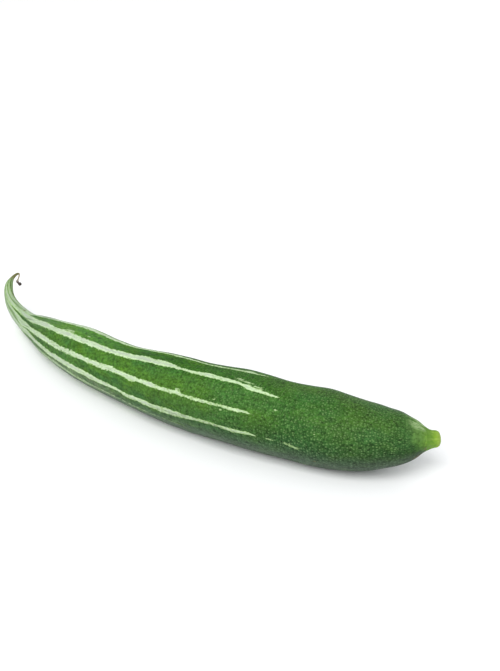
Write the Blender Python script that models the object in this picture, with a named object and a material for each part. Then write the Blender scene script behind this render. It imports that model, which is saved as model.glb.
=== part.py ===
"""A snake gourd as picked, lying on a flat surface: the long green fruit with its hooked beak, the cut
stub of its stalk, and the withered flower that hangs from the tip of the beak.

Metres, +Z up. The surface is Z = 0, and the middle of the whole gourd's box stands over the origin.
The stalk lies towards +X, the beak towards -X, and the belly bows out towards -Y."""

import math

import bmesh
import bpy
import numpy as np
from mathutils import Vector

MM = 0.001

# Course of the gourd. A station is a share of its length, from the stalk's cut face (0) to the tip
# of the beak (1). A heading is the way towards the tip seen from above, in degrees from -X.
LENGTH = 382 * MM
STALK_END = (175.3 * MM, 35.5 * MM)
HEADINGS = (
    (0, 50), (0.11, 25), (0.26, 13.5), (0.5, 1), (0.8, -14.5), (0.85, -14), (0.9, -11), (0.95, -45),
    (1, -75),
)

# Radius in mm at stations.
GIRTHS = (
    (0, 5.1), (0.012, 5.6), (0.024, 7.6), (0.038, 11.6), (0.055, 15), (0.08, 17.8), (0.12, 20.9),
    (0.17, 22.4), (0.23, 22.2), (0.31, 22.4), (0.42, 20.9), (0.55, 17.8), (0.66, 16.5),
    (0.75, 13.3), (0.82, 9.3), (0.88, 5.8), (0.93, 3.5), (0.96, 2.6), (0.98, 1.4), (1, 0.8),
)

# The fruit lies on its underside from the belly to the neck, pressed flat by its own weight, and
# the beak rises from there.
BELLY = 0.21
NECK = 0.83
PRESSED_FLAT = 0.4 * MM
BEAK_RISE = 23.7 * MM

# Angles round the axis, in degrees: 0 is level on the -Y side and 90 is the top.
STRIPES = (-177, -140, -103, -66, -29, -4, 28, 68, 108, 146)
# Depth in mm at stations of the grooves between the raised stripes, and of those between the soft
# ribs that run from the shoulder on to the stalk.
GROOVES = ((0, 0), (0.25, 0), (0.5, 0.15), (0.75, 0.5), (0.9, 0.45), (1, 0.1))
RIBS = ((0, 0.2), (0.025, 0.4), (0.05, 0.4), (0.13, 0), (1, 0))
RIB_COUNT = 8
# Swells and pinches of uneven growth: height in mm at stations along the upper and the lower side,
# the angle of each side, and how far round it they reach.
UPPER_SWELLS = (
    (0, 0), (0.04, 0), (0.06, 0.5), (0.09, 0), (0.13, -0.6), (0.17, 0.5), (0.22, 0), (0.3, 0.4),
    (0.38, -0.6), (0.46, 0.4), (0.53, 0), (0.66, 0.1), (0.75, -0.8), (0.84, 0.4), (0.9, -0.3), (1, 0),
)
LOWER_SWELLS = (
    (0, 0), (0.06, -0.7), (0.1, 0), (0.17, 0.2), (0.25, -0.3), (0.345, -0.3), (0.44, 0.4),
    (0.52, -0.2), (0.66, 0.3), (0.75, 0.8), (0.85, -0.7), (0.89, 0.7), (0.94, 0), (1, 0),
)
SWELL_SIDES = ((110, UPPER_SWELLS), (-64, LOWER_SWELLS))
SWELL_REACH = 60

# The stub's length along the axis, and the rounding of its cut rim.
STUB_LENGTH = 8.5 * MM
RIM_ROUNDING = 2.4 * MM

# Withered flower: points in mm from the tip of the beak, each with the thread's radius in mm. The
# last four make a shrivelled knob and the dark knot below it.
FLOWER_ROUTE = (
    (0, 0.35, 0, 0.65), (0.1, 1.2, -0.3, 0.6), (0.2, 1.5, -1.4, 0.55), (0, 1, -3.2, 0.5),
    (-0.4, 0.5, -4.8, 0.55), (-0.8, 0.2, -6.2, 1), (-0.2, 0.6, -7.1, 0.7),
    (0.7, 1.3, -8.1, 1.25), (1.4, 1.8, -8.9, 0.6),
)

# Solids that touch keep this much air, so that their meshes stay apart.
GAP = 0.3 * MM

# Fineness of the meshes.
AXIS_STEPS = 800
FRUIT_RINGS = 64
SIDES = 60
STUB_RINGS = 6
RIM_SEGMENTS = 5
FLOWER_POINTS = 33
SEAM_WELD = 0.01 * MM
END_CROWDING = 0.6
SHARP_EDGE = math.radians(50)

SKIN_GREEN = (0.07, 0.165, 0.035)
STALK_GREEN = (0.258, 0.451, 0.058)
WITHERED_BROWN = (0.115, 0.072, 0.035)


def smooth_curve(knots, places):
    """Cubic curve through (place, value) knots, whose slope at a knot comes from its neighbours."""
    place, value = np.array(knots, float).T
    slope = np.gradient(value, place)
    first = np.clip(np.searchsorted(place, places) - 1, 0, len(place) - 2)
    width = place[first + 1] - place[first]
    share = (places - place[first]) / width
    rest = 1 - share
    return (
        (1 + 2 * share) * rest**2 * value[first]
        + share * rest**2 * width * slope[first]
        + (1 + 2 * rest) * share**2 * value[first + 1]
        - rest * share**2 * width * slope[first + 1]
    )


def smooth_step(share):
    """0 below 0, 1 above 1, and an even S between them."""
    share = np.clip(share, 0, 1)
    return share**2 * (3 - 2 * share)


def axis_height(stations):
    """Height of the axis: its radius over the surface from belly to neck, level from the belly to
    the stalk, and rising along the beak."""
    lying = smooth_curve(GIRTHS, np.maximum(stations, BELLY)) * MM - PRESSED_FLAT
    return lying + BEAK_RISE * smooth_step((stations - NECK) / (1 - NECK))


def axis_at(stations):
    """Centre points of the axis, and its directions level towards the outer side and upwards."""
    fine = np.linspace(0, 1, AXIS_STEPS)
    step = LENGTH / (AXIS_STEPS - 1)
    height = axis_height(fine)
    climb = np.gradient(height, step)
    heading = np.radians(smooth_curve(HEADINGS, fine))
    level = np.sqrt(1 - climb**2)
    way = np.stack([-np.cos(heading) * level, -np.sin(heading) * level, climb], axis=1)
    steps = np.vstack([np.zeros(3), (way[1:] + way[:-1]) / 2 * step])
    centre = np.cumsum(steps, axis=0) + (*STALK_END, height[0])
    side = np.stack([np.sin(heading), -np.cos(heading), 0 * heading], axis=1)
    up = np.cross(way, side)
    return [
        np.stack([np.interp(stations, fine, column) for column in rows.T], axis=1)
        for rows in (centre, side, up)
    ]


def relief(stations, angles):
    """Height of the skin over its plain radius: grooves between the stripes, ribs, and swells."""
    ends = np.array((*STRIPES, STRIPES[0] + 360))
    turned = (angles - ends[0]) % 360 + ends[0]
    stripes_passed = np.interp(turned, ends, np.arange(len(ends)))
    groove = (1 - np.cos(2 * np.pi * stripes_passed)) / 2
    rib_groove = (1 - np.cos(RIB_COUNT * np.radians(angles))) / 2
    height = -MM * smooth_curve(GROOVES, stations) * groove
    height -= MM * smooth_curve(RIBS, stations) * rib_groove
    for angle, swells in SWELL_SIDES:
        turn = (angles - angle + 180) % 360 - 180
        height += MM * smooth_curve(swells, stations) * np.exp(-((turn / SWELL_REACH) ** 2))
    return height


def skin_points(stations, angles):
    """Points of the skin: from the axis out by radius and relief, none lower than the surface."""
    centre, side, up = axis_at(stations)
    out = (smooth_curve(GIRTHS, stations) * MM + relief(stations, angles))[:, None]
    turn = np.radians(angles)[:, None]
    points = centre + out * (np.cos(turn) * side + np.sin(turn) * up)
    points[:, 2] = np.maximum(points[:, 2], 0)
    return points


def rolled_tube(stations):
    """Closed tube along the axis: a flat grid of rings rolled up, its seam welded, its ends filled."""
    tube = bmesh.new()
    bmesh.ops.create_grid(
        tube, x_segments=len(stations) - 1, y_segments=SIDES, size=0.5
    )
    flat = np.array([vert.co for vert in tube.verts]) + 0.5
    along = np.interp(flat[:, 0], np.linspace(0, 1, len(stations)), stations)
    for vert, point in zip(tube.verts, skin_points(along, 360 * flat[:, 1])):
        vert.co = point
    bmesh.ops.remove_doubles(tube, verts=tube.verts, dist=SEAM_WELD)
    bmesh.ops.holes_fill(tube, edges=tube.edges, sides=0)
    bmesh.ops.recalc_face_normals(tube, faces=tube.faces)
    return tube


def round_cut_rim(tube):
    """Bevels the rim of the cut face: of the two ends, whose faces have SIDES corners, the one at
    station 0."""
    cut = min(
        (face for face in tube.faces if len(face.verts) == SIDES),
        key=lambda face: (face.calc_center_median().xy - Vector(STALK_END)).length,
    )
    bmesh.ops.bevel(
        tube, geom=list(cut.edges), offset=RIM_ROUNDING, segments=RIM_SEGMENTS,
        profile=0.5, affect="EDGES",
    )


def finish(name, colour, roughness):
    """Material with one base colour."""
    material = bpy.data.materials.new(name)
    material.use_nodes = True
    shader = material.node_tree.nodes["Principled BSDF"]
    shader.inputs["Base Color"].default_value = (*colour, 1)
    shader.inputs["Roughness"].default_value = roughness
    shader.inputs["Metallic"].default_value = 0
    return material


def add_object(name, data, material, parent):
    """Links an object of this data to the scene, under its parent."""
    data.materials.append(material)
    obj = bpy.data.objects.new(name, data)
    bpy.context.scene.collection.objects.link(obj)
    obj.parent = parent
    return obj


def mesh_object(name, tube, material, parent):
    """Object of a finished tube, shaded smooth except at the edges of its ends."""
    mesh = bpy.data.meshes.new(name)
    tube.to_mesh(mesh)
    tube.free()
    mesh.shade_smooth()
    mesh.set_sharp_from_angle(angle=SHARP_EDGE)
    return add_object(name, mesh, material, parent)


def make_fruit(parent):
    """The fruit in one piece, from the seat of the stalk to the tip of the beak. Its rings crowd
    together towards both ends, where it tapers fast."""
    share = np.linspace(0, 1, FRUIT_RINGS + 1)
    crowded = (1 - np.cos(np.pi * share)) / 2
    share = (1 - END_CROWDING) * share + END_CROWDING * crowded
    start = (STUB_LENGTH + GAP) / LENGTH
    tube = rolled_tube(start + (1 - start) * share)
    return mesh_object("fruit", tube, finish("gourd_skin", SKIN_GREEN, 0.38), parent)


def make_stalk_stub(parent):
    """The fleshy stub of the stalk, cut square with a softened rim."""
    tube = rolled_tube(np.linspace(0, STUB_LENGTH / LENGTH, STUB_RINGS + 1))
    round_cut_rim(tube)
    return mesh_object("stalk_stub", tube, finish("cut_stalk", STALK_GREEN, 0.5), parent)


def make_withered_flower(parent):
    """The dried flower: a thread that droops from the tip of the beak and ends in two knots."""
    route = np.array(FLOWER_ROUTE)
    run = np.linspace(0, 1, len(route))
    along = np.linspace(0, 1, FLOWER_POINTS)
    tip = axis_at(np.array([1.0]))[0][0]
    curve = bpy.data.curves.new("withered_flower", "CURVE")
    curve.dimensions = "3D"
    curve.bevel_depth = MM
    curve.bevel_resolution = 2
    curve.use_fill_caps = True
    spline = curve.splines.new("POLY")
    spline.points.add(FLOWER_POINTS - 1)
    columns = [smooth_curve(np.stack([run, column], axis=1), along) for column in route.T]
    for point, (x, y, z, radius) in zip(spline.points, zip(*columns)):
        point.co = (*(tip + MM * np.array([x, y, z])), 1)
        point.radius = radius
    return add_object(
        "withered_flower", curve, finish("withered", WITHERED_BROWN, 0.85), parent
    )


def main():
    for old in list(bpy.data.objects):
        bpy.data.objects.remove(old, do_unlink=True)
    gourd = bpy.data.objects.new("snake_gourd", None)
    bpy.context.scene.collection.objects.link(gourd)
    make_fruit(gourd)
    make_stalk_stub(gourd)
    make_withered_flower(gourd)


main()
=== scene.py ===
# %% [markdown]
# # Dressing a snake gourd
#
# A snake gourd is one long fruit: a thick end where it hung from its stalk, a body that bends a little,
# and a beak at the blossom end that still carries the dried flower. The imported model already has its
# place and size. This lesson lays a fine skin over it, paints the stripes and specks with nodes, and
# sets it on a pale floor under soft light.

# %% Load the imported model
from types import SimpleNamespace

import bpy
import numpy as np
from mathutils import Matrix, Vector


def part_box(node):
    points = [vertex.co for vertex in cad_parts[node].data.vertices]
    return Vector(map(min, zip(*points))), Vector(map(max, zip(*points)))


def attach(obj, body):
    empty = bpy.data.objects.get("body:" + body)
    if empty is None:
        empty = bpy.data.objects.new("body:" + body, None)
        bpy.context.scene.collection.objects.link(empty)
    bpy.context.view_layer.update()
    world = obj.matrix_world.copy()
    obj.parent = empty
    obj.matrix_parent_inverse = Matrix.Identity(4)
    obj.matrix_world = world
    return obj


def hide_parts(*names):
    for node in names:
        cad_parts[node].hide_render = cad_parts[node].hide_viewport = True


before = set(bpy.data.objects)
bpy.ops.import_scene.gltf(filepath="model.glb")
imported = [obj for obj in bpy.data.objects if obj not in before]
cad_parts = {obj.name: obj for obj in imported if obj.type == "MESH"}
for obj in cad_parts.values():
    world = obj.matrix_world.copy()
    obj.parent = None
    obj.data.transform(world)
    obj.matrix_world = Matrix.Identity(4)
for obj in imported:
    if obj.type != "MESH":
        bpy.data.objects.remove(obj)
MM, CM = 0.001, 0.01


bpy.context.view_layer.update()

# %% [markdown]
# ## The camera
#
# The gourd was photographed with a long lens from a little above. A camera can be placed by its own
# coordinates, but it is easier to think of the point on the table that it looks at, the turn and rise of
# the line of sight, and the distance along it.

# %% Place the camera
CAMERA_AIM = Vector((-22.7, 99.2, 0)) * MM
CAMERA_TURN, CAMERA_RISE = np.radians(41), np.radians(26)
CAMERA_DISTANCE = 1068 * MM
CAMERA_LENS = 85

sight = Vector((
    np.sin(CAMERA_TURN) * np.cos(CAMERA_RISE),
    -np.cos(CAMERA_TURN) * np.cos(CAMERA_RISE),
    np.sin(CAMERA_RISE),
))
camera = bpy.data.objects.new("camera", bpy.data.cameras.new("camera"))
camera.data.lens = CAMERA_LENS
camera.location = CAMERA_AIM + sight * CAMERA_DISTANCE
camera.rotation_euler = sight.to_track_quat("Z", "Y").to_euler()
bpy.context.scene.collection.objects.link(camera)
bpy.context.scene.camera = camera
print("camera at", [round(value, 3) for value in camera.location])

# %% [markdown]
# ## The course of the gourd
#
# A gourd could be sculpted by hand, but a tube along a bent line holds its form in a few numbers: the
# heading of the line seen from above, the radius, and the height of the line over the table. A station
# is a share of the length, 0 at the cut face of the stalk and 1 at the tip of the beak. A smooth curve
# through a few points gives each value anywhere in between.

# %% Smooth curves through a few points
def smooth_curve(knots, places):
    """Cubic curve through (place, value) knots. The slope at a knot is that of its two neighbours, and
    between knots a value is the sum of both ends and both slopes, each times its cubic blend."""
    place, value = np.array(knots, float).T
    slope = np.gradient(value, place)
    first = np.clip(np.searchsorted(place, places) - 1, 0, len(place) - 2)
    width = place[first + 1] - place[first]
    share = np.clip((places - place[first]) / width, 0, 1)
    rest = 1 - share
    return (
        (1 + 2 * share) * rest**2 * value[first]
        + share * rest**2 * width * slope[first]
        + (1 + 2 * rest) * share**2 * value[first + 1]
        - rest * share**2 * width * slope[first + 1]
    )


def smooth_step(share):
    """0 below 0, 1 above 1, and three times the square less twice the cube between."""
    share = np.clip(share, 0, 1)
    return share**2 * (3 - 2 * share)


print("a smooth step a quarter of the way:", smooth_step(0.25))

# %% The gourd's own numbers
LENGTH = 382 * MM
STALK_END = (175.3 * MM, 35.5 * MM)
# By station: the heading in degrees, and the radius in mm.
HEADINGS = (
    (0, 50), (0.11, 25), (0.26, 13.5), (0.5, 1), (0.8, -14.5), (0.85, -14), (0.9, -11), (0.95, -45),
    (1, -75),
)
GIRTHS = (
    (0, 5.1), (0.012, 5.6), (0.024, 7.6), (0.038, 11.6), (0.055, 15), (0.08, 17.8), (0.12, 20.9),
    (0.17, 22.4), (0.23, 22.2), (0.31, 22.4), (0.42, 20.9), (0.55, 17.8), (0.66, 16.5),
    (0.75, 13.3), (0.82, 9.3), (0.88, 5.8), (0.93, 3.5), (0.96, 2.6), (0.98, 1.4), (1, 0.8),
)
BELLY, NECK = 0.21, 0.83
PRESSED_FLAT = 0.4 * MM
BEAK_RISE = 23.7 * MM
AXIS_STEPS = 800


def axis_at(stations):
    """Centres of the line, its level side and its upward side. The way along it is (-cos, -sin) of the
    heading, tilted by the climb of its height, and the centres are the running sum of that way."""
    fine = np.linspace(0, 1, AXIS_STEPS)
    step = LENGTH / (AXIS_STEPS - 1)
    height = smooth_curve(GIRTHS, np.maximum(fine, BELLY)) * MM - PRESSED_FLAT
    height = height + BEAK_RISE * smooth_step((fine - NECK) / (1 - NECK))
    climb = np.gradient(height, step)
    level = np.sqrt(1 - climb**2)
    heading = np.radians(smooth_curve(HEADINGS, fine))
    way = np.stack([-np.cos(heading) * level, -np.sin(heading) * level, climb], axis=1)
    steps = np.vstack([np.zeros(3), (way[1:] + way[:-1]) / 2 * step])
    centre = np.cumsum(steps, axis=0) + (*STALK_END, height[0])
    side = np.stack([np.sin(heading), -np.cos(heading), 0 * heading], axis=1)
    rows = [centre, side, np.cross(way, side)]
    return [
        np.stack([np.interp(stations, fine, column) for column in row.T], axis=-1) for row in rows
    ]


print("tip of the beak in mm:", np.round(axis_at(np.array([1.0]))[0][0] / MM, 1))

# %% [markdown]
# ## Stripes
#
# Ten pale stripes run back from the beak and die out one by one past the middle. On the real fruit they
# stand a little proud of the green. They could be a repeating pattern, but each one wanders, swells and
# breaks up in its own way, so each has an angle round the gourd and a half width in mm, both as smooth
# curves over the stations. The half width is 0 where a stripe has ended.

# %% Say where each stripe runs
def stripe(*course, strength=1.0):
    """One stripe: its course as (station, angle in degrees, half width in mm), and how strongly it
    shows. It starts where the half width is 0 and is drawn out to the beak."""
    return {"course": np.array(course), "strength": strength}


STRIPES = [
    stripe(
        (0.2, 108, 0), (0.26, 104, 0.2), (0.305, 100, 0.9), (0.34, 100, 0.75), (0.4, 101.5, 0.85),
        (0.46, 103, 1), (0.52, 104, 1.15), (0.57, 105, 1.3), (0.61, 105, 1.5), (0.65, 103, 1.7),
        (0.7, 100, 1.5), (0.74, 97, 1.4), (0.79, 100, 2), (0.83, 104, 2.1), (0.88, 102, 2.2),
        (0.95, 100, 1), (1, 100, 0.5),
    ),
    stripe(
        (0.232, 61.5, 0), (0.245, 62, 0.65), (0.262, 63.2, 1), (0.28, 64, 1.25), (0.29, 65.3, 1.55),
        (0.3, 67, 1.05), (0.32, 68.7, 1.35), (0.345, 69, 1.45), (0.36, 69.8, 1.7), (0.38, 69, 1.25),
        (0.4, 68.6, 1), (0.418, 69.3, 1.05), (0.432, 70.3, 1.75), (0.45, 70.4, 2.3), (0.47, 69.8, 1.9),
        (0.485, 70.7, 2.3), (0.51, 68.4, 2), (0.54, 67.8, 2.05), (0.56, 65.8, 1.7), (0.6, 64, 1.9),
        (0.64, 61, 1.9), (0.68, 60, 2.1), (0.72, 58, 1.75), (0.75, 59.5, 2.1), (0.78, 59.5, 2),
        (0.81, 62, 2.1), (0.84, 71, 2.15), (0.87, 72, 1.85), (0.89, 69, 1.65), (0.91, 65, 1.8),
        (0.95, 60, 1.1), (1, 60, 0.5),
    ),
    stripe(
        (0.266, 27.5, 0), (0.278, 28, 0.75), (0.305, 27.3, 1), (0.32, 27.4, 0.8), (0.34, 26.9, 0.85),
        (0.352, 27, 1.05), (0.375, 27, 1), (0.391, 27.4, 0.95), (0.4, 29, 1.3), (0.41, 28, 1.15),
        (0.44, 27.8, 1.2), (0.455, 29.2, 1.6), (0.466, 29, 1.15), (0.48, 29.6, 1.15), (0.49, 28.6, 1.8),
        (0.505, 30.5, 1.55), (0.53, 32, 1.45), (0.545, 32.3, 1.8), (0.56, 31, 1.6), (0.6, 29, 1.45),
        (0.64, 26.3, 1.6), (0.68, 23.6, 1.55), (0.72, 25, 1.65), (0.76, 26, 1.65), (0.8, 28, 1.35),
        (0.82, 32, 1.6), (0.84, 32, 2), (0.87, 30, 1.85), (0.89, 27, 1.65), (0.91, 24, 1.8),
        (0.95, 22, 1), (1, 22, 0.5),
    ),
    stripe(
        (0.255, -4.5, 0), (0.262, -4.3, 0.55), (0.272, -3.2, 0.95), (0.285, -4.7, 1.1), (0.3, -5.5, 1.15),
        (0.32, -5, 0.95), (0.345, -5, 0.95), (0.36, -5.7, 0.95), (0.38, -6.8, 1.4), (0.4, -7.4, 1.9),
        (0.42, -7.8, 2), (0.44, -7.6, 1.6), (0.46, -6.5, 1.7), (0.48, -5.7, 1.35), (0.5, -6.8, 1.4),
        (0.515, -4.2, 1), (0.54, -2.6, 1.2), (0.58, -1.5, 1.75), (0.62, -1.6, 1.85), (0.66, -2.5, 2),
        (0.7, -3, 1.75), (0.74, 0.3, 1.5), (0.78, 3, 1.6), (0.82, 7, 2), (0.87, 0, 2), (0.95, -5, 1),
        (1, -5, 0.5),
    ),
    stripe(
        (0.38, -29, 0), (0.42, -27, 0.35), (0.5, -24, 0.5), (0.57, -23, 0.7), (0.65, -22, 1.2),
        (0.72, -21, 1.5), (0.78, -22, 1.7), (0.83, -24, 2), (0.89, -28, 2), (0.95, -35, 1), (1, -35, 0.5),
        strength=0.65,
    ),
]
# On the side that rests on the table and on the back the stripes follow the same habit.
for angle, end, widest in (
    (-60, 0.42, 1.2), (-97, 0.3, 1.9), (-134, 0.36, 1.5), (-172, 0.25, 2.1), (-213, 0.31, 1.7),
):
    STRIPES.append(stripe(
        (end, angle, 0), (end + 0.02, angle, 0.5 * widest), (end + 0.05, angle + 2, 0.4 * widest),
        (end + 0.1, angle + 3, 0.7 * widest), (end + 0.14, angle + 1, 0.5 * widest),
        (0.6, angle - 2, widest), (0.66, angle, 0.8 * widest), (0.72, angle + 1, 1.1 * widest),
        (0.78, angle, 1.7), (0.83, angle, 2.1), (0.89, angle, 2.1), (0.95, angle, 1), (1, angle, 0.5),
    ))

# Short strokes: station, angle, half length and half width in mm. The first three carry on the line of
# a stripe that has ended, the next four run along the upper side of the second stripe, and the rest are
# flecks.
STROKES = (
    (0.2385, -4, 3, 0.6), (0.21, -5, 2.8, 0.8), (0.198, -7.8, 3, 0.8), (0.309, 76, 3, 0.95),
    (0.294, 73.5, 4, 0.75), (0.276, 69.4, 4.5, 0.65), (0.674, 71, 5, 0.9), (0.236, 42, 0.9, 0.7),
    (0.4, 33.6, 1.7, 0.9), (0.331, 34.4, 1.3, 0.5), (0.318, 22, 1.4, 0.5), (0.23, 61, 0.8, 0.5),
    (0.627, 76, 1, 0.6), (0.171, 20, 0.8, 0.4), (0.305, 102, 4.5, 1), (0.27, 103, 1.2, 0.5),
    (0.191, -50, 3, 0.5), (0.28, 150, 5, 0.6), (0.21, 190, 2.2, 0.5), (0.319, -80, 4, 0.6),
    (0.25, 165, 0.9, 0.7), (0.368, 132, 1.2, 0.7), (0.246, 152, 3, 0.5), (0.24, -97, 4, 0.5),
    (0.3, -135, 3, 0.6),
)
STROKE_STRENGTH = 0.8

# Healed scars and the brown crease under the stalk: station, angle, half length and half width in mm.
SCARS = (
    (0.875, 94, 2.4, 1.2), (0.1706, -28, 1.2, 0.6), (0.036, -38, 4, 1.4), (0.024, -20, 1, 1.6),
    (0.5, 170, 2.5, 0.7), (0.66, -150, 1.2, 0.9), (0.93, 140, 5, 0.7),
)
FAR_OUTSIDE = -99.0


def turn_between(angles, other):
    """The shortest turn from one angle to another, in degrees from -180 to 180."""
    return (angles - other + 180) % 360 - 180


def ellipse(stations, angles, radius, mark):
    """1 at the middle of a mark, 0 on its edge and below 0 outside: 1 less the point's distance in units
    of the mark's two half axes. A mark is a station, an angle, a half length and a half width in mm."""
    station, angle, half_length, half_width = mark
    along = (stations - station) * LENGTH / MM / half_length
    across = np.radians(turn_between(angles, angle)) * radius / MM / half_width
    return 1 - np.hypot(along, across)


def stripe_margins(stations, angles, radius):
    """How far in mm a point lies inside the nearest stripe's edge, negative outside it, and that
    stripe's strength. Inside, it is the half width less the distance from the stripe's middle, which is
    the turn times the radius. A stroke's margin is its half width times its ellipse."""
    margin = np.full(stations.shape, FAR_OUTSIDE)
    strength = np.ones(stations.shape)
    for one in STRIPES:
        course = one["course"]
        half = smooth_curve(course[:, [0, 2]], stations)
        half = np.where(stations < course[0, 0], (stations - course[0, 0]) * LENGTH / MM, half)
        turn = turn_between(angles, smooth_curve(course[:, :2], stations))
        inside = half - np.abs(np.radians(turn)) * radius / MM
        strength = np.where(inside > margin, one["strength"], strength)
        margin = np.maximum(margin, inside)
    for stroke in STROKES:
        inside = stroke[3] * ellipse(stations, angles, radius, stroke)
        strength = np.where(inside > margin, STROKE_STRENGTH, strength)
        margin = np.maximum(margin, inside)
    return margin, strength


print(len(STRIPES), "stripes,", len(STROKES), "strokes and", len(SCARS), "scars")

# %% [markdown]
# ## Relief
#
# Four kinds of relief sit on the plain tube. Grooves part the stripes on the neck, soft ribs run from
# the shoulder on to the stalk, the fruit swells and pinches where it grew unevenly, and faint waves cover
# it all. Bump nodes could fake them, but the outline would stay smooth, so they are in the points.

# %% Work out the relief
# Depths and heights in mm by station. The swells' sides and their reach are in degrees, waves in mm.
GROOVES = ((0, 0), (0.25, 0.04), (0.5, 0.15), (0.75, 0.45), (0.9, 0.42), (1, 0.1))
GROOVE_SLOPE = 1.3
RIBS = ((0, 0.2), (0.025, 0.4), (0.05, 0.4), (0.13, 0), (1, 0))
RIB_COUNT = 8
UPPER_SWELLS = (
    (0, 0), (0.018, 0.1), (0.029, 1.2), (0.042, 0.6), (0.06, 0.5), (0.09, 0), (0.13, -0.6),
    (0.17, 0.5), (0.22, 0), (0.3, 0.4), (0.38, -0.6), (0.46, 0.4), (0.53, 0), (0.66, 0.1),
    (0.75, -0.8), (0.84, 0.4), (0.9, -0.3), (1, 0),
)
LOWER_SWELLS = (
    (0, 0), (0.06, -0.7), (0.1, 0), (0.17, 0.2), (0.25, -0.3), (0.345, -0.3), (0.44, 0.4),
    (0.52, -0.2), (0.66, 0.3), (0.75, 0.8), (0.85, -0.7), (0.89, 0.7), (0.94, 0), (1, 0),
)
SWELL_SIDES = ((110, UPPER_SWELLS), (-64, LOWER_SWELLS))
SWELL_REACH = 60
WAVE_COUNT, WAVE_HEIGHT = 14, 0.05
SHORTEST_WAVE, LONGEST_WAVE = 9, 45
CALM_BEAK = 0.3


def waves(places):
    """Faint unevenness in mm: a sum of cosines, each along its own random way through the gourd laid
    out straight, with a wavelength between the shortest and the longest."""
    random = np.random.default_rng(7)
    height = np.zeros(places.shape[:-1])
    for _ in range(WAVE_COUNT):
        way = random.normal(size=3) * (0.5, 1, 1)
        length = random.uniform(SHORTEST_WAVE, LONGEST_WAVE)
        way *= 2 * np.pi / length / np.linalg.norm(way)
        height += WAVE_HEIGHT * np.cos(places @ way + random.uniform(0, 2 * np.pi))
    return height


def relief(stations, angles, margin, places):
    """Height in mm over the plain tube. A groove sinks with the distance outside the stripes, ribs are a
    cosine round the gourd, swells follow a curve along each side with a bell across it, and the waves
    fade on the beak."""
    height = -smooth_curve(GROOVES, stations) * smooth_step(-margin / GROOVE_SLOPE)
    height -= smooth_curve(RIBS, stations) * (1 - np.cos(RIB_COUNT * np.radians(angles))) / 2
    for angle, swells in SWELL_SIDES:
        turn = turn_between(angles, angle)
        height += smooth_curve(swells, stations) * np.exp(-((turn / SWELL_REACH) ** 2))
    return height + waves(places) * smooth_step((1 - stations) / CALM_BEAK)


# %% Points of the skin
UNDERSIDE = -90


def skin_grid(stations, sides):
    """Points, and what the paint needs to know at each, on a grid of rings that starts along the
    underside. A point is the centre of the line plus its radius and relief times the cosine of its angle
    sideways and the sine upwards, and none is lower than the table."""
    angles = UNDERSIDE + np.arange(sides) * 360 / sides
    stations, angles = np.meshgrid(stations, angles, indexing="ij")
    centre, side, up = axis_at(stations)
    radius = smooth_curve(GIRTHS, stations) * MM
    turn = np.radians(angles)
    circle = np.stack([np.cos(turn), np.sin(turn)], axis=-1)
    along = stations * LENGTH / MM
    straight = np.concatenate([along[..., None], circle * radius[..., None] / MM], axis=-1)
    margin, strength = stripe_margins(stations, angles, radius)
    out = (radius + relief(stations, angles, margin, straight) * MM)[..., None]
    points = centre + out * (circle[..., :1] * side + circle[..., 1:] * up)
    points[..., 2] = np.maximum(points[..., 2], 0)
    paint = {
        "station": stations,
        "stripe_margin": margin,
        "stripe_strength": strength,
        "scar": np.maximum.reduce([ellipse(stations, angles, radius, scar) for scar in SCARS]).clip(0),
        "straight_place": straight,
        "streak_place": np.concatenate([along[..., None], circle], axis=-1),
    }
    return points, paint


belly_ring = skin_grid(np.array([BELLY]), 4)[0][0]
print("under, side, top and back of the belly in mm:", np.round(belly_ring / MM, 1).tolist())

# %% [markdown]
# ## From rings to a mesh
#
# A curve with a bevel would carry a ring along the line too, but the paint wouldn't know where on the
# gourd it is. So the rings are joined into faces here. Each point keeps its station, its place on the
# gourd laid out straight and its distance to the stripes, as attributes that a material can read.

# %% Number the corners of a closed tube
def tube_faces(count, sides):
    """Faces of a tube of rings by the numbers of their points: four corners between neighbouring rings,
    and three in the fans that close the ends on the last two points."""
    ring, side = np.meshgrid(np.arange(count - 1), np.arange(sides), indexing="ij")
    here, beside = ring * sides + side, ring * sides + (side + 1) % sides
    quads = np.stack([here, beside, beside + sides, here + sides], axis=-1).reshape(-1, 4)
    rim, next_rim = np.arange(sides), (np.arange(sides) + 1) % sides
    last = (count - 1) * sides
    first_pole, last_pole = count * sides, count * sides + 1
    fans = np.vstack([
        np.stack([next_rim, rim, np.full(sides, first_pole)], axis=1),
        np.stack([rim + last, next_rim + last, np.full(sides, last_pole)], axis=1),
    ])
    return quads, fans


def tube_unrolled(along, sides, around):
    """Flat place in mm of each face corner, in the order of the faces: the ring's place along the tube,
    and its share of the way around. The sheet is cut open along the first side."""
    count = len(along)
    ring, side = np.meshgrid(np.arange(count - 1), np.arange(sides), indexing="ij")
    near = np.stack([ring, side], axis=-1)
    quads = np.stack([near, near + (0, 1), near + (1, 1), near + (1, 0)], axis=-2).reshape(-1, 2)
    rim = np.stack([np.zeros(sides), np.arange(sides)], axis=-1)
    start = np.stack([rim + (0, 1), rim, rim + (0, 0.5)], axis=1).reshape(-1, 2)
    end = np.stack([rim, rim + (0, 1), rim + (0, 0.5)], axis=1).reshape(-1, 2)
    places = np.vstack([quads, start, end + (count - 1, 0)])
    along_places = np.interp(places[:, 0], np.arange(count), along)
    return np.stack([along_places, places[:, 1] * around / sides], axis=-1)


quads, fans = tube_faces(3, 4)
print("three rings of four points give", len(quads), "four-sided faces and", len(fans), "in the fans")


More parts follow.
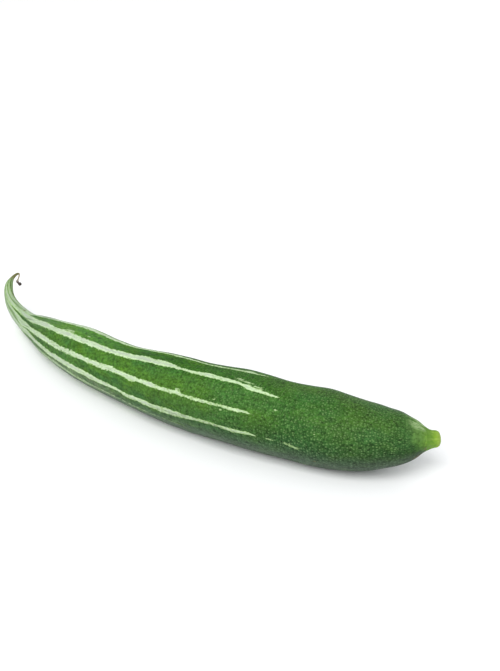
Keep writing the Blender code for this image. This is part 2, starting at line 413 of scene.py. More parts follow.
# %% Turn a grid of rings into a piece
def fill_mesh(mesh, points, quads, fans):
    """Points and faces of a mesh. A face begins, in the list of all corners, at the sum of the sizes of
    the faces before it."""
    sizes = np.concatenate([np.full(len(quads), 4), np.full(len(fans), 3)])
    mesh.vertices.add(len(points))
    mesh.vertices.foreach_set("co", points.ravel())
    mesh.loops.add(int(sizes.sum()))
    mesh.loops.foreach_set("vertex_index", np.concatenate([quads.ravel(), fans.ravel()]))
    mesh.polygons.add(len(sizes))
    mesh.polygons.foreach_set("loop_start", np.cumsum(sizes) - sizes)
    mesh.polygons.foreach_set("use_smooth", np.ones(len(sizes), bool))
    mesh.update(calc_edges=True)


def keep_paint(mesh, paint):
    """Arrays with a value or a vector at each ring point, kept as attributes. The point that closes an
    end takes the mean of its ring."""
    for title, values in paint.items():
        count, sides = values.shape[:2]
        wide = values.ndim == 3
        flat = values.reshape(count * sides, -1)
        flat = np.vstack([flat, flat[:sides].mean(0), flat[-sides:].mean(0)])
        layer = mesh.attributes.new(title, "FLOAT_VECTOR" if wide else "FLOAT", "POINT")
        layer.data.foreach_set("vector" if wide else "value", flat.astype(np.float32).ravel())


def sum_of_cones(points, quads, fans):
    """Volume inside the faces: a sixth of the triple product of each triangle's corners, added up. It is
    above 0 when the faces point outwards."""
    triangles = np.vstack([quads[:, [0, 1, 2]], quads[:, [0, 2, 3]], fans])
    a, b, c = (points[triangles[:, corner]] for corner in range(3))
    return float((a * np.cross(b, c)).sum() / 6)


def closed_tube(name, rings, paint, ends, along, around):
    """Mesh piece from rings of points (ring, side, xyz) and its two end points, with its paint, and a UV
    map of the tube unrolled, from each ring's place along it and the way around it in mm."""
    count, sides = rings.shape[:2]
    points = np.vstack([rings.reshape(-1, 3), ends])
    quads, fans = tube_faces(count, sides)
    mesh = bpy.data.meshes.new(name)
    fill_mesh(mesh, points, quads, fans)
    unrolled = tube_unrolled(along, sides, around).astype(np.float32)
    mesh.uv_layers.new(name="unrolled").uv.foreach_set("vector", unrolled.ravel())
    keep_paint(mesh, paint)
    piece = bpy.data.objects.new(name, mesh)
    bpy.context.scene.collection.objects.link(piece)
    volume = sum_of_cones(points, quads, fans) / CM**3
    print(f"{name}: {2 * len(quads) + len(fans)} triangles, {volume:.2f} cm3")
    return piece


# %% [markdown]
# ## Shader sums
#
# A finish is a net of nodes. Wiring them one by one hides the sums, so a small class wraps a socket and
# lets Python's own signs add the Math nodes. Everything else comes from one method, which takes a kind
# of node, its settings and the values or links of its sockets.

# %% One class for sockets
class Wire:
    """A socket that gives a number, a vector or a colour, and adds nodes when sums are done with it."""

    def __init__(self, tree, socket):
        self.tree = tree
        self.socket = socket

    def node(self, kind, settings=None, sockets=None, output=0):
        """Adds a node: settings first, then a value or a link for each socket, which is named by its
        identifier, its name or its number."""
        made = self.tree.nodes.new(kind)
        for title, value in (settings or {}).items():
            if title == "stops":
                set_stops(made.color_ramp, value)
            else:
                setattr(made, title, value)
        for title, value in (sockets or {}).items():
            entry = made.inputs[title] if isinstance(title, int) else find_socket(made, title)
            if isinstance(value, Wire):
                self.tree.links.new(value.socket, entry)
            else:
                entry.default_value = value
        return Wire(self.tree, made.outputs[output])

    def sum(self, operation, first, second):
        """A Math node on two values, of which one may be a plain number."""
        return self.node("ShaderNodeMath", {"operation": operation}, {0: first, 1: second})

    def __add__(self, other):
        return self.sum("ADD", self, other)

    def __radd__(self, other):
        return self.sum("ADD", other, self)

    def __sub__(self, other):
        return self.sum("SUBTRACT", self, other)

    def __rsub__(self, other):
        return self.sum("SUBTRACT", other, self)

    def __mul__(self, other):
        return self.sum("MULTIPLY", self, other)

    def __rmul__(self, other):
        return self.sum("MULTIPLY", other, self)


def find_socket(node, title):
    """The input whose identifier or name is this title."""
    return next(entry for entry in node.inputs if title in (entry.identifier, entry.name))


def set_stops(ramp, stops):
    """Sets a ramp's stops from (place, value or colour)."""
    while len(ramp.elements) < len(stops):
        ramp.elements.new(1.0)
    for element, (place, value) in zip(ramp.elements, stops):
        element.position = place
        element.color = (*value, 1) if isinstance(value, tuple) else (value, value, value, 1)


# %% Helpers that read like words
def read(wire, title, output="Fac"):
    """An attribute of the mesh: Fac for a number, Vector for a vector."""
    return wire.node("ShaderNodeAttribute", {"attribute_name": title}, output=output)


def coordinate(place, letter):
    """One coordinate of a place, by its letter."""
    return place.node("ShaderNodeSeparateXYZ", {}, {"Vector": place}, output=letter)


def stretched(place, along, across):
    """A place measured in units of so many mm along the gourd and across it."""
    scale = (1 / along, 1 / across, 1 / across)
    return place.node("ShaderNodeVectorMath", {"operation": "MULTIPLY"}, {0: place, 1: scale})


def noise(place, along, across, detail=2.0, roughness=0.5):
    """Noise between -1 and 1, mostly within half of that, with grains of that size in mm."""
    grain = stretched(place, along, across)
    sockets = {"Vector": grain, "Scale": 1.0, "Detail": detail, "Roughness": roughness}
    return 2 * place.node("ShaderNodeTexNoise", {}, sockets) - 1


def step(value, low, high):
    """A smooth S from 0 to 1 as the value goes from low to high, which may be the lower number."""
    return value.node(
        "ShaderNodeMapRange", {"interpolation_type": "SMOOTHSTEP"},
        {"Value": value, "From Min": low, "From Max": high},
    )


def ramp(value, *stops):
    """A colour or a number by place, from (place, value) stops."""
    return value.node("ShaderNodeValToRGB", {"stops": stops}, {"Fac": value})


def mixed(share, first, second):
    """Two colours mixed: the first at a share of 0, the second at 1."""
    first, second = ((*one, 1) if isinstance(one, tuple) else one for one in (first, second))
    return share.node(
        "ShaderNodeMix", {"data_type": "RGBA"},
        {"Factor_Float": share, "A_Color": first, "B_Color": second}, output=2,
    )


def scaled(colour, factor):
    """A colour made lighter or darker by a factor."""
    return colour.node("ShaderNodeVectorMath", {"operation": "SCALE"}, {0: colour, "Scale": factor})


def spots(place, spacing, radius, softness):
    """Soft round spots of about that radius, one to a cell of that spacing on the unrolled skin, all in
    mm, as a mask from 0 to 1. Some cells have a strong spot and some a faint one."""
    settings = {"voronoi_dimensions": "2D", "feature": "F1"}
    cells = {"Vector": stretched(place, spacing, spacing), "Scale": 1.0, "Randomness": 0.85}
    distance = place.node("ShaderNodeTexVoronoi", settings, cells, output="Distance")
    chance = place.node("ShaderNodeTexVoronoi", settings, cells, output="Color")
    faintness = chance.node("ShaderNodeSeparateColor", {}, {"Color": chance}, output="Red")
    return step(distance * spacing, radius + softness, radius - softness) * step(faintness, 1.1, 0.2)


def new_finish(title, roughness, **constants):
    """A material with a Principled shader. Constants go straight on its sockets. Returns the material, a
    wire to start sums from, and the shader."""
    material = bpy.data.materials.new(title)
    material.use_nodes = True
    tree = material.node_tree
    shader = tree.nodes["Principled BSDF"]
    shader.inputs["Roughness"].default_value = roughness
    for name, value in constants.items():
        find_socket(shader, name.replace("_", " ")).default_value = value
    return material, Wire(tree, shader.outputs[0]), shader


def plug(wire, shader, title):
    """Links a wire to a socket of the shader."""
    wire.tree.links.new(wire.socket, shader.inputs[title])


def bumped(height, depth):
    """A normal bent by a height, where 1 stands for that depth in metres."""
    return height.node("ShaderNodeBump", {}, {"Height": height, "Distance": depth, "Strength": 1.0})


print("shader helpers ready")

# %% [markdown]
# ## The green of the skin
#
# The skin is a waxy green, mottled as finely as its pores, and it isn't one green. The flanks are deeper,
# the side near the ground never saw the sun and has a grey bloom, which is also a painted reflection of
# the white floor, and round the stalk the skin is young and yellower. Some steps paint shade and light
# into the green: painted shade down the flank of the thick half and on the crest of the middle, and a
# painted highlight on the crest of the slim half. One ramp along the gourd would miss most of that. So
# each change is a step of its own, which mixes the green so far with another one, by place or by noise.
# All steps read the gourd laid out straight, so the patterns bend with it and don't slide.

# %% Choose the greens
GREENS = (
    (0.0, (0.034, 0.085, 0.016)), (0.09, (0.029, 0.085, 0.016)), (0.2, (0.029, 0.095, 0.014)),
    (0.35, (0.044, 0.123, 0.017)), (0.55, (0.057, 0.148, 0.019)), (0.72, (0.055, 0.147, 0.02)),
    (0.8, (0.052, 0.12, 0.026)), (0.88, (0.045, 0.10, 0.03)), (0.95, (0.09, 0.15, 0.05)),
)
BLUE_DRIFT, YELLOW_DRIFT = (0.026, 0.10, 0.035), (0.075, 0.14, 0.012)
# The crest green is painted shade on the top of the middle.
FLANK, PAINTED_CREST_SHADE = (0.028, 0.085, 0.03), (0.016, 0.085, 0.0)
# The bloom grey is bloom and also a painted reflection of the white floor on the low side.
BLOOM_AND_FLOOR_REFLECTION, OLIVE = (0.14, 0.185, 0.14), (0.15, 0.205, 0.11)
FRESH_PATCH, DEEP_PATCH = (0.085, 0.19, 0.008), (0.03, 0.125, 0.04)
NEW_GROWTH = ((0.018, (0.155, 0.29, 0.036)), (0.032, (0.085, 0.19, 0.034)), (0.06, (0.05, 0.13, 0.026)))
print("greens at", len(GREENS), "stations")


# %% Read what the paint follows
def skin_readings(start):
    """What every step of the paint follows. Upward is the sine of the angle round the gourd, so it is 1
    on top and -1 underneath. Cloud, ragged and fine are noise with large, middle and small grains."""
    place = read(start, "straight_place", "Vector")
    streaks = read(start, "streak_place", "Vector")
    return SimpleNamespace(
        station=read(start, "station"),
        place=place,
        streaks=streaks,
        unrolled=start.node("ShaderNodeUVMap", {"uv_map": "unrolled"}),
        scar=read(start, "scar"),
        upward=coordinate(streaks, "Z"),
        cloud=noise(place, 35, 16),
        ragged=noise(place, 4, 3, detail=3),
        fine=noise(place, 1.8, 1.5, detail=4, roughness=0.65),
    )


# %% Paint the green by its place
def green_by_place(at):
    """Green by station with drifts of a bluer and a yellower one, deeper on the flanks, and darker on the
    crest of the middle, which is painted shade."""
    green = mixed(step(at.cloud, -0.3, 0.5) * 0.25, ramp(at.station, *GREENS), BLUE_DRIFT)
    green = mixed(step(at.cloud, 0.1, -0.5) * 0.2, green, YELLOW_DRIFT)
    green = mixed(step(at.upward, 0.6, -0.1) * 0.4, green, FLANK)
    # Painted shade: the crest of the middle is mixed towards a darker green, as from gourds lying behind
    # it.
    middle = ramp(at.station, (0.2, 0.0), (0.38, 0.8), (0.52, 0.8), (0.62, 0.0))
    return mixed(step(at.upward, 0.8, 1.0) * middle, green, PAINTED_CREST_SHADE)


def bloom_and_reflection(at, green):
    """A grey bloom on the low side, which is also a painted reflection of the white floor, and over its
    upper part, past the middle, a ragged olive band.
    """
    bloom = ramp(at.station, (0.1, 0.75), (0.3, 0.72), (0.55, 0.75), (0.8, 0.9))
    # Grey on the low side: bloom, and also a painted reflection of the white floor.
    green = mixed(step(at.upward, 0.0, -0.72) * bloom, green, BLOOM_AND_FLOOR_REFLECTION)
    band = step(at.upward, -0.02, -0.2) * step(at.upward, -0.75, -0.35)
    band = band * ramp(at.station, (0.49, 0.0), (0.56, 0.8), (0.68, 0.75), (0.8, 0.0))
    return mixed(band * step(at.ragged, -0.5, 0.2), green, OLIVE)


def painted_shade_and_highlight(at, green):
    """Painted shade down the flank of the thick half, and a painted highlight on the crest of the slim
    half.
    """
    depth = ramp(at.station, (0.05, 0.5), (0.2, 0.42), (0.35, 0.3), (0.5, 0.2), (0.65, 0.0))
    # Painted shade: the flank of the thick half is darkened.
    green = scaled(green, 1 - step(at.upward, 0.8, -0.4) * depth)
    slim = ramp(at.station, (0.48, 0.0), (0.58, 1.0), (0.85, 1.0), (0.92, 0.0))
    # Painted highlight: the crest of the slim half is lightened.
    return scaled(green, 1 + 0.38 * step(at.upward, 0.84, 0.93) * slim)


def patched(at, green):
    """Patches of a fresher and a deeper green, strongest where the body narrows."""
    patches = noise(at.place, 13, 6, detail=3)
    by_neck = ramp(at.station, (0.3, 0.2), (0.55, 1.0), (0.9, 0.6))
    green = mixed(step(patches, 0.0, 0.45) * by_neck * 0.5, green, FRESH_PATCH)
    return mixed(step(patches, 0.0, -0.45) * by_neck * 0.4, green, DEEP_PATCH)


def mottled(at, green):
    """New growth by the stalk, further along on the upper side, and over all a mottle of fine and coarse
    noise, which is weaker on the new growth."""
    reach = at.upward + 0.5 * at.ragged + 45 * (0.045 - at.station)
    young = step(at.station - 0.02 * at.ragged, 0.072, 0.03) * step(reach, 0.0, 1.1)
    green = mixed(young, green, ramp(at.station, *NEW_GROWTH))
    return scaled(green, 1 + (1.5 - 0.7 * young) * at.fine + 0.4 * noise(at.place, 9, 5))


# %% [markdown]
# ## Specks and streaks
#
# Over the green lie small light specks, clear on the thick end, faint past the middle and gone on the
# neck. They could be tiny pieces of mesh, but there are thousands, so each cell of a Voronoi texture holds
# one. Next to the stalk pale streaks run together, drawn by noise that is stretched along the gourd; on
# the shoulder's top they also stand in as a painted highlight.

# %% Lay specks and streaks over the green
SPECK, PAINTED_SHADE_SPECK = (0.155, 0.275, 0.09), (0.14, 0.225, 0.13)
FLARE, PALE_RIDGE_AND_HIGHLIGHT = (0.15, 0.27, 0.08), (0.36, 0.48, 0.24)
SCAR = (0.115, 0.085, 0.04)


def specked(at, green):
    """Large specks 1.75 mm apart and small ones 1.15 mm apart, greyer and fainter on the low side as
    painted shade.
    """
    amount = ramp(
        at.station, (0.03, 0.0), (0.06, 0.85), (0.12, 1.0), (0.2, 0.85), (0.28, 0.65), (0.4, 0.45),
        (0.5, 0.2), (0.7, 0.0),
    )
    # Painted shade: specks on the low side are a greyer, fainter copy.
    low = step(at.upward, 0.3, -0.6)
    amount = amount * (1 - 0.35 * low) * (1 + 0.5 * at.cloud)
    speck = mixed(low, SPECK, PAINTED_SHADE_SPECK)
    green = mixed(spots(at.unrolled, 1.75, 0.4, 0.33) * amount * 0.7, green, speck)
    return mixed(spots(at.unrolled, 1.15, 0.26, 0.2) * amount * 0.4, green, speck)


def streaked(at, green):
    """On the upper side by the stalk, a flare of light fibres, and next to it a pale ridge of strands that
    is also a painted highlight on the shoulder's top.
    """
    fibres = noise(stretched(at.streaks, 1, 0.12), 5, 1, detail=3) + 0.4 * at.ragged + 0.5 * at.fine
    flare = step(fibres, -0.4, 0.4) * step(at.station, 0.06, 0.034) * step(at.upward, 0.1, 0.8)
    green = mixed(flare * 0.45, green, FLARE)
    strands = noise(stretched(at.streaks, 1, 0.07), 6, 1, detail=3) + 0.3 * at.ragged
    near_seat = step(at.station, 0.053, 0.036) * step(at.station, 0.0225, 0.028)
    # The pale ridge is partly pale strands and partly a painted highlight on the shoulder's top.
    ridge = step(strands, -0.2, 0.2) * near_seat * step(at.upward, 0.8, 0.98)
    return mixed(ridge * 0.8, green, PALE_RIDGE_AND_HIGHLIGHT)


def green_skin(at):
    """The green, one step after another, and the scars on top."""
    green = green_by_place(at)
    for painted in (bloom_and_reflection, painted_shade_and_highlight, patched, mottled, specked, streaked):
        green = painted(at, green)
    return mixed(step(at.scar + 0.4 * at.ragged, 0.15, 0.7) * 0.7, green, SCAR)


# %% [markdown]
# ## The paint of the stripes
#
# A stripe's edge looks torn. A ramp on the distance to its middle would give a ruled band, so the margin
# worked out above is shifted by noise that is long and thin, like the fibres under the skin. The shifted
# margin also says where the yellow-green fringe and the greyer middle lie.

# %% Paint the stripes
PALES = (
    (0.0, (0.38, 0.52, 0.29)), (0.45, (0.44, 0.57, 0.35)), (0.6, (0.46, 0.58, 0.37)),
    (0.8, (0.41, 0.53, 0.34)), (0.88, (0.31, 0.435, 0.24)), (0.95, (0.26, 0.365, 0.18)),
)
FRINGE, STRIPE_MIDDLE = (0.22, 0.36, 0.09), (0.38, 0.44, 0.35)
DARK_LINE, PALE_LINE = (0.10, 0.18, 0.055), (0.33, 0.44, 0.27)


def drawn_out(at, pale):
    """Long dark and pale lines over the stripes of the beak."""
    on_beak = ramp(at.station, (0.74, 0.0), (0.82, 0.8), (0.93, 0.95), (1.0, 0.3))
    long_lines = noise(stretched(at.streaks, 1, 0.3), 45, 1, detail=4)
    pale = mixed(step(long_lines, 0.0, 0.3) * on_beak, pale, DARK_LINE)
    return mixed(step(long_lines, -0.05, -0.4) * on_beak * 0.6, pale, PALE_LINE)


def pale_skin(at, edge):
    """Pale by station, darker on the low side of the thick half as painted shade and lighter on top as a
    painted highlight, greyer in the middle of a stripe, yellow-green at its fringe and in flecks, drawn
    out on the beak, and with its scars on top."""
    lines = noise(stretched(at.streaks, 1, 0.08), 14, 1, detail=3)
    grain = noise(at.place, 1.8, 1.0, detail=3, roughness=0.6)
    # Painted shade and light: the stripes are dimmer on the low side of the thick half and lighter on top.
    painted_low_shade = step(at.upward, 0.3, -0.3) * step(at.station, 0.5, 0.38)
    light = 1 + 0.12 * step(at.upward, 0.5, 0.9) - 0.4 * painted_low_shade
    pale = scaled(ramp(at.station, *PALES), light + 0.8 * grain + 0.5 * lines)
    pale = mixed(step(grain, 0.05, 0.5) * 0.4, pale, FRINGE)
    pale = mixed(step(edge, 0.5, 1.3) * step(lines, -0.3, 0.2) * 0.9, pale, STRIPE_MIDDLE)
    pale = mixed(step(noise(at.place, 3.5, 0.7, detail=4), 0.12, 0.4) * 0.55, pale, FRINGE)
    pale = mixed(step(edge, 0.55, 0.0) * 0.65, pale, FRINGE)
    return mixed(step(at.scar + 0.3 * lines, 0.1, 0.7) * 0.8, drawn_out(at, pale), SCAR)


# %% Put the skin's finish together
DRIED_TIP = (0.15, 0.13, 0.045)
PORE_DEPTH = 0.12 * MM


def skin_finish():
    """Pale torn stripes over speckled green, a dried tip, and a waxy, pored surface."""
    material, start, shader = new_finish("gourd_skin", 0.45, IOR=1.45, Specular_IOR_Level=0.05)
    at = skin_readings(start)
    tearing = ramp(at.station, (0.3, 0.6), (0.55, 1.0), (0.7, 1.0), (0.9, 0.35))
    long_tears = noise(at.place, 4, 1.4, detail=4, roughness=0.6)
    torn = 0.9 * long_tears + 1.3 * noise(at.place, 1.5, 0.9, detail=3)
    edge = read(start, "stripe_margin") - 0.1 + torn * tearing
    covered = step(edge, -0.16, 0.16) * read(start, "stripe_strength")
    colour = mixed(covered, green_skin(at), pale_skin(at, edge))
    dried = step(at.station + 0.006 * noise(at.place, 2, 1), 0.96, 0.988)
    plug(mixed(dried * 0.9, colour, DRIED_TIP), shader, "Base Color")

    pores = noise(at.place, 0.9, 0.7)
    plug(0.42 + 0.1 * covered + 0.1 * pores, shader, "Roughness")
    plug(bumped(pores + 0.6 * covered, PORE_DEPTH), shader, "Normal")
    print("skin finish:", len(material.node_tree.nodes), "nodes")
    return material


# %% Make the skin
STUB_LENGTH = 8.5 * MM
SKIN_RINGS, SKIN_SIDES = 500, 180
# The way round the widest place in mm is how wide the unrolled skin lies.
WIDEST_ROUND = 2 * np.pi * 22
END_CROWDING = 0.45


def crowded(start, end, count):
    """Stations that crowd together towards both ends: even steps mixed with half a cosine wave."""
    share = np.linspace(0, 1, count)
    share = (1 - END_CROWDING) * share + END_CROWDING * (1 - np.cos(np.pi * share)) / 2
    return start + (end - start) * share


def tube_on_line(name, points, paint, end_stations):
    """A closed tube round the gourd's own line, closed on that line at two stations."""
    ends = axis_at(np.array(end_stations))[0]
    return closed_tube(name, points, paint, ends, paint["straight_place"][:, 0, 0], WIDEST_ROUND)


seat = STUB_LENGTH / LENGTH
skin_points, skin_paint = skin_grid(crowded(seat, 1, SKIN_RINGS), SKIN_SIDES)
skin = tube_on_line("skin", skin_points, skin_paint, (seat, 1))
skin.data.materials.append(skin_finish())
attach(skin, "root")
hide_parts("fruit")
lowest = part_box("fruit")[0]
print("off the packed fruit's corner by mm:", np.round((skin_points.min((0, 1)) - lowest) / MM, 2))

# %% [markdown]
# ## The stub of the stalk
#
# The stalk was cut close to the fruit. It is fleshy, brighter and yellower than the skin,
# and its ribs run on from the shoulder. It is the same tube, carried on to station 0, with a rounded rim
# and a shallow dish for the cut. Inside the fruit it narrows, so that no gap shows at the seat.

# %% Shape the stub
RIM, DISH = 3 * MM, 0.9 * MM
STUB_SIDES = 120
CUT_RINGS, RIM_RINGS, BODY_RINGS = 14, 9, 16
INNERMOST = 0.04
ROOT_STATIONS, ROOT_SHARES = (0.0235, 0.026, 0.03), (0.94, 0.8, 0.5)
OFF_THE_CUT = 1.2


def stub_rings():
    """Stations of the rings from the middle of the cut to the root, and the share of the radius that each
    keeps. On the cut the radius grows evenly and the face is dished by a cosine. At the rim the radius
    follows a quarter circle. Past the seat it shrinks."""
    cut_share = np.linspace(INNERMOST, 1, CUT_RINGS)[:-1]
    quarter = np.linspace(0, np.pi / 2, RIM_RINGS)
    body = np.linspace(RIM / LENGTH, seat, BODY_RINGS)[1:]
    stations = np.concatenate([
        DISH / LENGTH * (1 + np.cos(np.pi * cut_share)) / 2,
        RIM / LENGTH * (1 - np.cos(quarter)),
        body,
        ROOT_STATIONS,
    ])
    rim_radius = smooth_curve(GIRTHS, np.array([RIM / LENGTH]))[0] * MM
    inner = (rim_radius - RIM) / rim_radius
    shares = np.concatenate([
        cut_share * inner,
        inner + (1 - inner) * np.sin(quarter),
        np.ones(len(body)),
        ROOT_SHARES,
    ])
    return stations, shares


def stub_grid():
    """Points of the stub, like those of the skin, with the radius times its ring's share. Up to the rim
    the share is one of the rim's own girth."""
    stations, shares = stub_rings()
    points, paint = skin_grid(stations, STUB_SIDES)
    centre = axis_at(stations)[0][:, None, :]
    rim_girth = smooth_curve(GIRTHS, np.maximum(stations, RIM / LENGTH)) / smooth_curve(GIRTHS, stations)
    points = centre + (points - centre) * (shares * rim_girth)[:, None, None]
    on_cut = np.where(stations < RIM / LENGTH, shares, OFF_THE_CUT)
    paint["cut_share"] = np.tile(on_cut[:, None], STUB_SIDES)
    return points, paint


# %% Paint the stub
FLESH = ((0.0, (0.21, 0.34, 0.032)), (0.01, (0.18, 0.32, 0.028)), (0.02, (0.145, 0.28, 0.032)))
FLESH_FIBRE, FLESH_BLOTCH, FLESH_BY_FRUIT = (0.30, 0.43, 0.09), (0.10, 0.22, 0.022), (0.08, 0.19, 0.025)
CUT_DARK, CUT_LIGHT, CUT_EDGE = (0.34, 0.46, 0.12), (0.42, 0.52, 0.18), (0.25, 0.37, 0.05)
VESSEL = (0.22, 0.24, 0.06)
FIBRE_DEPTH = 0.2 * MM


def flesh_outside(station, place, streaks):
    """Yellow-green by station, with light fibres and darker blotches, and greener towards the fruit."""
    flesh = ramp(station, *FLESH)
    fibres = noise(stretched(streaks, 1, 0.2), 6, 1, detail=3)
    flesh = mixed(step(fibres, 0.0, 0.4) * 0.5, flesh, FLESH_FIBRE)
    flesh = mixed(step(noise(place, 2.6, 2), -0.1, 0.4) * 0.7, flesh, FLESH_BLOTCH)
    by_fruit = step(station + 0.006 * noise(place, 2, 1.2, detail=3), 0.008, 0.021)
    return mixed(by_fruit * 0.6, flesh, FLESH_BY_FRUIT)


def cut_face(place, cut):
    """Paler than the outside, with a ring of vessels as spots across the cut, and greener at the edge."""
    sockets = {"X": coordinate(place, "Y"), "Y": coordinate(place, "Z")}
    across = place.node("ShaderNodeCombineXYZ", {}, sockets)
    vessels = spots(across, 1.7, 0.4, 0.2) * step(cut, 0.35, 0.5) * step(cut, 0.8, 0.65)
    face = mixed(step(noise(place, 0.8, 0.5), -0.2, 0.4), CUT_DARK, CUT_LIGHT)
    face = mixed(vessels * 0.8, face, VESSEL)
    return mixed(step(cut, 0.6, 0.9) * 0.85, face, CUT_EDGE)


def stub_finish():
    """The outside's flesh and the cut face, parted where the cut's share of the radius passes 1."""
    material, start, shader = new_finish("cut_stalk", 0.5, IOR=1.42, Specular_IOR_Level=0.15)
    place = read(start, "straight_place", "Vector")
    cut = read(start, "cut_share")
    flesh = flesh_outside(read(start, "station"), place, read(start, "streak_place", "Vector"))
    plug(mixed(step(cut, 1.1, 0.8), flesh, cut_face(place, cut)), shader, "Base Color")
    plug(bumped(noise(place, 1.2, 0.5, detail=3), FIBRE_DEPTH), shader, "Normal")
    print("stub finish:", len(material.node_tree.nodes), "nodes")
    return material


# %% Make the stub
stub_points, stub_paint = stub_grid()
stub = tube_on_line("stalk_stub_cut", stub_points, stub_paint, (DISH / LENGTH, ROOT_STATIONS[-1]))
stub.data.materials.append(stub_finish())
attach(stub, "root")
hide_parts("stalk_stub")

# %% [markdown]
# ## The withered flower
#
# What is left of the flower is a dry thread that hooks down from the tip, with a shrivelled knob and a
# dark knot. A curve with a bevel would give a smooth wire. Carrying a wrinkled ring along a smooth line
# shows how the dried parts shrank and twisted.

# %% Shape the flower
FLOWER_ROUTE = (
    (0, -1.2, 0, 0.5), (0, 0.35, 0, 0.6), (0.1, 1.2, -0.3, 0.6), (0.2, 1.5, -1.4, 0.5),
    (0, 1, -3.2, 0.42), (-0.4, 0.5, -4.8, 0.5), (-0.8, 0.2, -6.2, 0.95), (-0.2, 0.6, -7.1, 0.65),
    (0.7, 1.3, -8.1, 1.2), (1.4, 1.8, -8.9, 0.5),
)
FLOWER_RINGS, FLOWER_SIDES = 160, 40
FLOWER_LENGTH, FLOWER_ROUND = 13, 4
# Wrinkles: how many go round, how far they wind along it in radians, and their share of the radius.
WRINKLES = ((5, -9, 0.13), (2, 23, 0.08), (1, -70, 0.05))
BLUNT_END = 0.08


def flower_grid():
    """Rings across the smooth line through the route, which is (x, y, z, radius) in mm from the tip. A
    ring's radius is the thread's own times 1 plus the wrinkles, each a cosine of the angle and of the
    share of the line, and it shrinks at the end. Also what the paint needs, and the two end points."""
    route = np.array(FLOWER_ROUTE)
    knots = np.linspace(0, 1, len(route))
    share = np.linspace(0, 1, FLOWER_RINGS)
    x, y, z, radius = (smooth_curve(np.stack([knots, column], axis=1), share) for column in route.T)
    line = np.stack([x, y, z], axis=1)
    way = np.gradient(line, axis=0)
    way /= np.linalg.norm(way, axis=1)[:, None]
    side = np.cross(way, (1.0, 0.0, 0.0))
    side /= np.linalg.norm(side, axis=1)[:, None]
    up = np.cross(way, side)
    turn = np.arange(FLOWER_SIDES) * 2 * np.pi / FLOWER_SIDES
    share_grid, turn_grid = np.meshgrid(share, turn, indexing="ij")
    wrinkle = sum(
        height * np.cos(count * turn_grid + twist * share_grid) for count, twist, height in WRINKLES
    )
    swell = radius[:, None] * (1 + wrinkle) * smooth_step((1.02 - share_grid) / BLUNT_END)
    points = line[:, None] + swell[..., None] * (
        np.cos(turn)[None, :, None] * side[:, None] + np.sin(turn)[None, :, None] * up[:, None]
    )
    tip = axis_at(np.array([1.0]))[0][0]
    return tip + points * MM, {"share": share_grid}, tip + line[[0, -1]] * MM


# %% Paint and place the flower
DRY = (
    (0.1, (0.17, 0.15, 0.05)), (0.3, (0.42, 0.34, 0.20)), (0.55, (0.36, 0.30, 0.22)),
    (0.68, (0.14, 0.10, 0.10)), (0.8, (0.05, 0.035, 0.03)), (1.0, (0.03, 0.022, 0.018)),
)
DRY_FLECK = (0.30, 0.25, 0.19)
GRAINS_PER_METRE = 2500.0
GRAIN_DEPTH = 0.2 * MM


def flower_finish():
    """Tan thread that greys at the knob and is nearly black at the knot, dull and rough."""
    material, start, shader = new_finish("withered", 0.85)
    place = start.node("ShaderNodeTexCoord", output="Object")
    sockets = {"Vector": place, "Scale": GRAINS_PER_METRE, "Detail": 3.0}
    grain = place.node("ShaderNodeTexNoise", {}, sockets)
    colour = mixed(step(grain, 0.5, 0.75) * 0.5, ramp(read(start, "share"), *DRY), DRY_FLECK)
    plug(colour, shader, "Base Color")
    plug(bumped(grain, GRAIN_DEPTH), shader, "Normal")
    print("flower finish:", len(material.node_tree.nodes), "nodes")
    return material


flower_points, flower_paint, flower_ends = flower_grid()
flower_along = np.linspace(0, FLOWER_LENGTH, FLOWER_RINGS)
flower = closed_tube(
    "dried_flower", flower_points, flower_paint, flower_ends, flower_along, FLOWER_ROUND
)
flower.data.materials.append(flower_finish())
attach(flower, "root")
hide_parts("withered_flower")

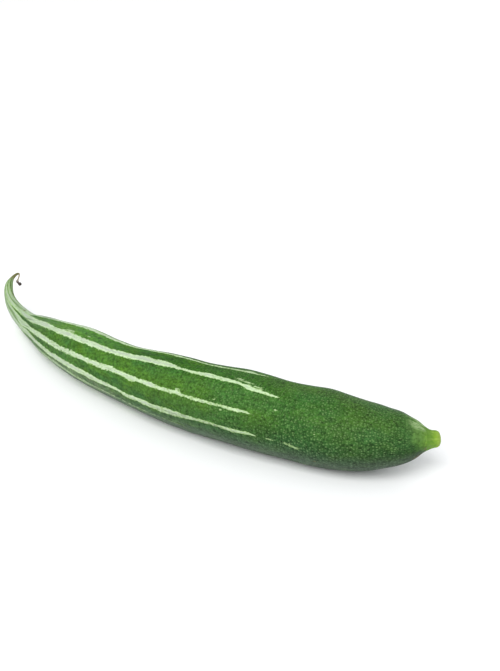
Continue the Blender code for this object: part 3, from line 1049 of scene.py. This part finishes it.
# %% [markdown]
# ## Floor and light
#
# The gourd lies on white in soft light. One small lamp would throw a hard shadow and a sharp glint, so
# the light is spread. A bright surround fills it in from everywhere, one wide soft box high on the
# camera's side shapes it and lays the shadow close round it, and a weak box behind lifts the far rim.

# %% Lay the floor
FLOOR_HALF, FLOOR_LINES = 3.0, 9
FLOOR_DROP = 0.05 * MM
FLOOR_WHITE = (0.94, 0.94, 0.94, 1)


def floor_sheet():
    """A flat square grid just under the table's plane: x and y go evenly from edge to edge, and z is the
    drop downwards."""
    edge = np.linspace(-FLOOR_HALF, FLOOR_HALF, FLOOR_LINES)
    x, y = np.meshgrid(edge, edge, indexing="ij")
    points = np.stack([x, y, np.full_like(x, -FLOOR_DROP)], axis=-1).reshape(-1, 3)
    cells = np.arange(FLOOR_LINES - 1)
    here = (cells[:, None] * FLOOR_LINES + cells).ravel()
    squares = np.stack([here, here + FLOOR_LINES, here + FLOOR_LINES + 1, here + 1], axis=1)
    mesh = bpy.data.meshes.new("floor")
    mesh.from_pydata(points, [], squares)
    return mesh


floor = bpy.data.objects.new("floor", floor_sheet())
bpy.context.scene.collection.objects.link(floor)
floor_material, _, floor_shader = new_finish("floor_white", 0.7)
floor_shader.inputs["Base Color"].default_value = FLOOR_WHITE
floor.data.materials.append(floor_material)
print("floor:", 2 * FLOOR_HALF, "m wide,", len(floor.data.polygons), "faces")

# %% Light it
def soft_box(name, place, size, power):
    """A square area light at a place, turned to face the gourd, with its size in metres and its power in
    watts."""
    lamp = bpy.data.lights.new(name, "AREA")
    lamp.size = size
    lamp.energy = power
    box = bpy.data.objects.new(name, lamp)
    box.location = place
    box.rotation_euler = (-Vector(place)).to_track_quat("-Z", "Y").to_euler()
    bpy.context.scene.collection.objects.link(box)
    print(f"{name}: {size} m, {power} W")


soft_box("key_box", (0.75, -2.15, 2.4), size=3.0, power=110)
soft_box("back_box", (-0.5, 2.4, 1.7), size=1.6, power=12)
world = bpy.data.worlds.new("surround")
world.use_nodes = True
surround = world.node_tree.nodes["Background"]
surround.inputs["Color"].default_value = (0.95, 0.97, 1, 1)
surround.inputs["Strength"].default_value = 0.66
bpy.context.scene.world = world
bpy.context.scene.view_settings.view_transform = "Standard"
